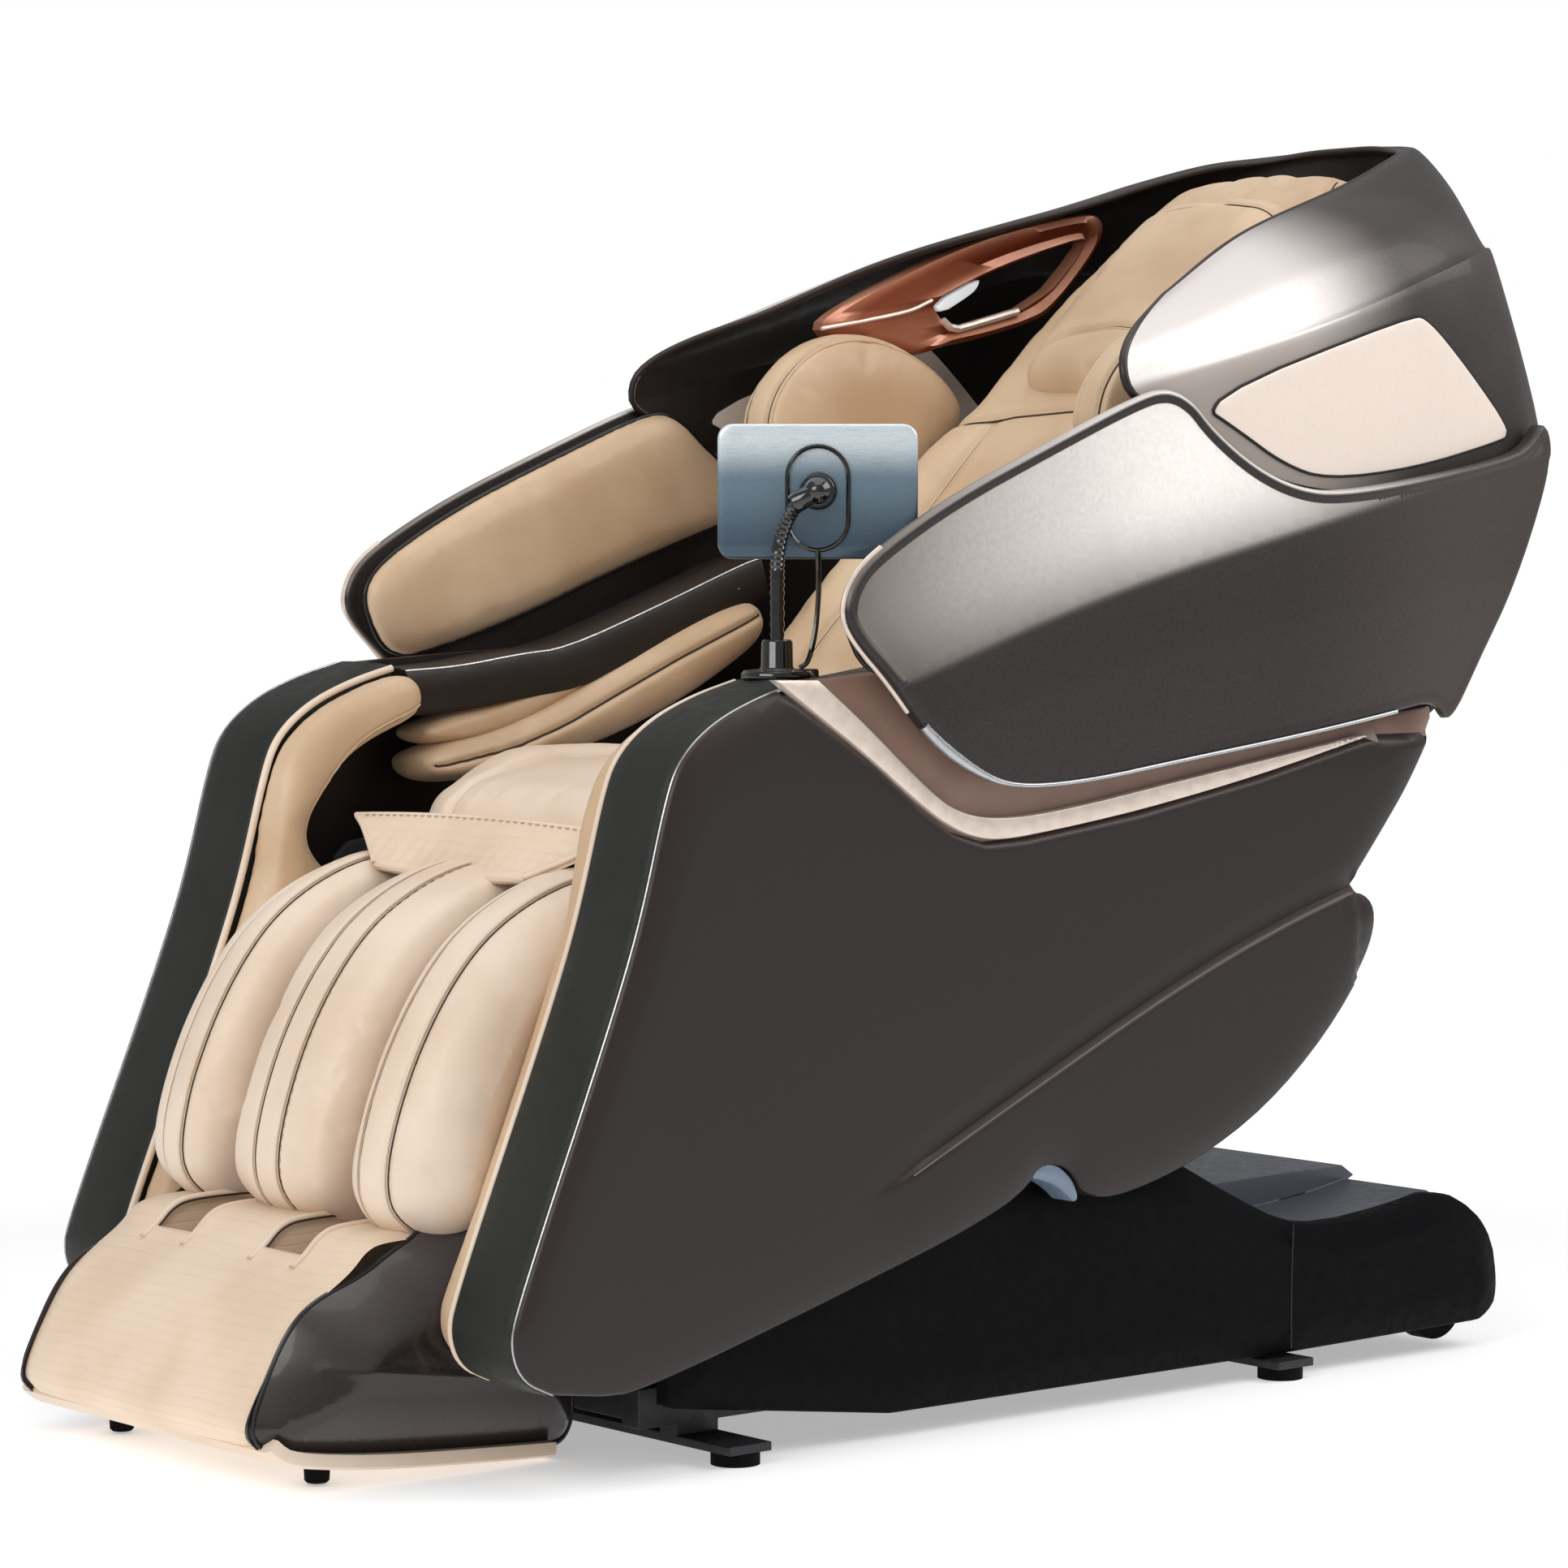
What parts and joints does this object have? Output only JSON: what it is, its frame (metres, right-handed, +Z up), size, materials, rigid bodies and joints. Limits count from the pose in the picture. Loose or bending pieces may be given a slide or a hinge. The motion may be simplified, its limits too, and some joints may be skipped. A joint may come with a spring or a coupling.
{
  "type": "massage chair",
  "caption": "Reclining full-body massage chair with winged arms, a hood, a lifting calf and foot rest, and a tablet on a swivel neck.",
  "frame": {"origin": "on the floor, under the middle of the chair's outer box", "axes": "+Z up, -Y the way the sitter faces, +X the sitter's left"},
  "size_m": [0.788, 1.56, 1.222],
  "materials": {
    "frame_steel": "satin powder coat",
    "base_plastic": "fine textured black ABS",
    "deck_plastic": "fine textured grey ABS",
    "foot_rubber": "matt",
    "bright_steel": "ground bright steel",
    "switch_plastic": "gloss red",
    "white_plastic": "natural acetal",
    "leather": "beige synthetic leather, soft sheen, fine grain",
    "panel_paint": "dark brown metallic lacquer",
    "band_plastic": "black with a slight green cast, semi-gloss",
    "rose_metal": "rose gold metallic lacquer",
    "blue_plastic": "blue grey metallic",
    "gloss_black": "gloss black",
    "tablet_metal": "blue grey anodised",
    "hood_paint": "taupe metallic lacquer",
    "wing_paint": "taupe over dark brown metallic lacquer",
    "inlay_gloss": "champagne pearl lacquer",
    "copper_trim": "copper metallic lacquer"
  },
  "bodies": {
    "base": {"base_frame": "frame_steel", "base_cover_left": "base_plastic", "base_cover_right": "base_plastic", "base_deck": "deck_plastic", "base_feet": "foot_rubber", "slide_rails": "bright_steel", "slide_drive": "frame_steel", "power_panel": "base_plastic", "transport_axle": "bright_steel"},
    "power_switch": {"rocker_switch": "switch_plastic"},
    "wheel_left": {"transport_wheel_left": "foot_rubber"},
    "wheel_right": {"transport_wheel_right": "foot_rubber"},
    "carriage": {"carriage_frame": "frame_steel", "slide_blocks": "white_plastic", "control_box": "base_plastic", "air_pump": "frame_steel", "tilt_pins": "bright_steel", "tilt_actuator": "base_plastic"},
    "tilt_push_rod": {"tilt_rod": "bright_steel"},
    "seat": {"seat_frame": "frame_steel", "seat_cushion": "leather", "side_panel_left": "panel_paint", "side_panel_right": "panel_paint", "front_band_left": "band_plastic", "front_band_right": "band_plastic", "side_lining_left": "leather", "side_lining_right": "leather", "accent_strip_left": "rose_metal", "accent_strip_right": "rose_metal", "tail_inserts": "blue_plastic", "armrest_left": "band_plastic", "armrest_right": "band_plastic", "arm_pads_left": "leather", "arm_pads_right": "leather", "seat_pins": "bright_steel", "recline_actuator": "base_plastic", "leg_actuator": "base_plastic", "tablet_base": "base_plastic"},
    "recline_push_rod": {"recline_rod": "bright_steel"},
    "leg_push_rod": {"leg_rod": "bright_steel"},
    "tablet_neck": {"gooseneck": "gloss_black"},
    "tablet": {"tablet": "tablet_metal"},
    "backrest": {"back_frame": "frame_steel", "back_cover": "base_plastic", "back_cushion": "leather", "head_pillow": "leather", "hood": "hood_paint", "hood_inlays": "inlay_gloss", "wing_left": "wing_paint", "wing_right": "wing_paint", "wing_pads": "leather", "shoulder_pads": "leather", "shoulder_trims": "copper_trim", "track_rails": "bright_steel"},
    "massage_carriage": {"massage_carriage": "frame_steel"},
    "massage_head": {"massage_head": "white_plastic"},
    "legrest": {"legrest": "band_plastic", "calf_bolsters": "leather"},
    "footrest": {"foot_unit": "panel_paint"},
    "foot_rollers": {"foot_rollers": "white_plastic"}
  },
  "joints": [
    {"name": "seat_slide", "type": "slide", "parent": "base", "child": "carriage", "axis": [0, -1, 0], "range_m": [0, 0.12]},
    {"name": "seat_tilt", "type": "hinge", "parent": "carriage", "child": "seat", "pos_m": [0, 0.1, 0.265], "axis": [-1, 0, 0], "range_deg": [0, 16]},
    {"name": "back_recline", "type": "hinge", "parent": "seat", "child": "backrest", "pos_m": [0, -0.06, 0.53], "axis": [-1, 0, 0], "range_deg": [0, 27]},
    {"name": "leg_lift", "type": "hinge", "parent": "seat", "child": "legrest", "pos_m": [0, -0.372, 0.5], "axis": [-1, 0, 0], "range_deg": [0, 60]},
    {"name": "foot_extend", "type": "slide", "parent": "legrest", "child": "footrest", "axis": [0, -0.5736, -0.8192], "range_m": [0, 0.0901]},
    {"name": "foot_roller_spin", "type": "hinge", "parent": "footrest", "child": "foot_rollers", "pos_m": [0, -0.638, 0.054], "axis": [1, 0, 0], "continuous": true},
    {"name": "massage_travel", "type": "slide", "parent": "backrest", "child": "massage_carriage", "axis": [0, 0.7071, 0.7071], "range_m": [-0.18, 0.36]},
    {"name": "massage_tap", "type": "hinge", "parent": "massage_carriage", "child": "massage_head", "pos_m": [0, 0.28638, 0.65495], "axis": [1, 0, 0], "range_deg": [-4, 4]},
    {"name": "tablet_swivel", "type": "hinge", "parent": "seat", "child": "tablet_neck", "pos_m": [0.297, -0.29, 0.6902], "axis": [0, 0, 1], "range_deg": [-3, 80]},
    {"name": "tablet_tilt", "type": "hinge", "parent": "tablet_neck", "child": "tablet", "pos_m": [0.32, -0.2623, 0.8562], "axis": [0.6388, 0.7694, 0], "range_deg": [-6, 25]},
    {"name": "tilt_rod_slide", "type": "slide", "parent": "carriage", "child": "tilt_push_rod", "axis": [0, 0.3746, 0.9272], "range_m": [0, 0.0802]},
    {"name": "recline_rod_slide", "type": "slide", "parent": "seat", "child": "recline_push_rod", "axis": [0, -1, 0], "range_m": [0, 0.0477]},
    {"name": "leg_rod_slide", "type": "slide", "parent": "seat", "child": "leg_push_rod", "axis": [0, -1, 0], "range_m": [0, 0.0853]},
    {"name": "switch_rock", "type": "hinge", "parent": "base", "child": "power_switch", "pos_m": [-0.176, 0.619, 0.079], "axis": [1, 0, 0], "range_deg": [-6, 6]},
    {"name": "wheel_left_spin", "type": "hinge", "parent": "base", "child": "wheel_left", "pos_m": [0.279, 0.575, 0.046], "axis": [1, 0, 0], "continuous": true},
    {"name": "wheel_right_spin", "type": "hinge", "parent": "base", "child": "wheel_right", "pos_m": [-0.279, 0.575, 0.046], "axis": [1, 0, 0], "continuous": true}
  ],
  "couplings": [
    {"joint": "tilt_rod_slide", "follows": "seat_tilt", "m_per_rad": 0.2865},
    {"joint": "recline_rod_slide", "follows": "back_recline", "m_per_rad": 0.101},
    {"joint": "leg_rod_slide", "follows": "leg_lift", "m_per_rad": 0.0813},
    {"joint": "foot_extend", "follows": "leg_lift", "m_per_rad": 0.0859}
  ]
}
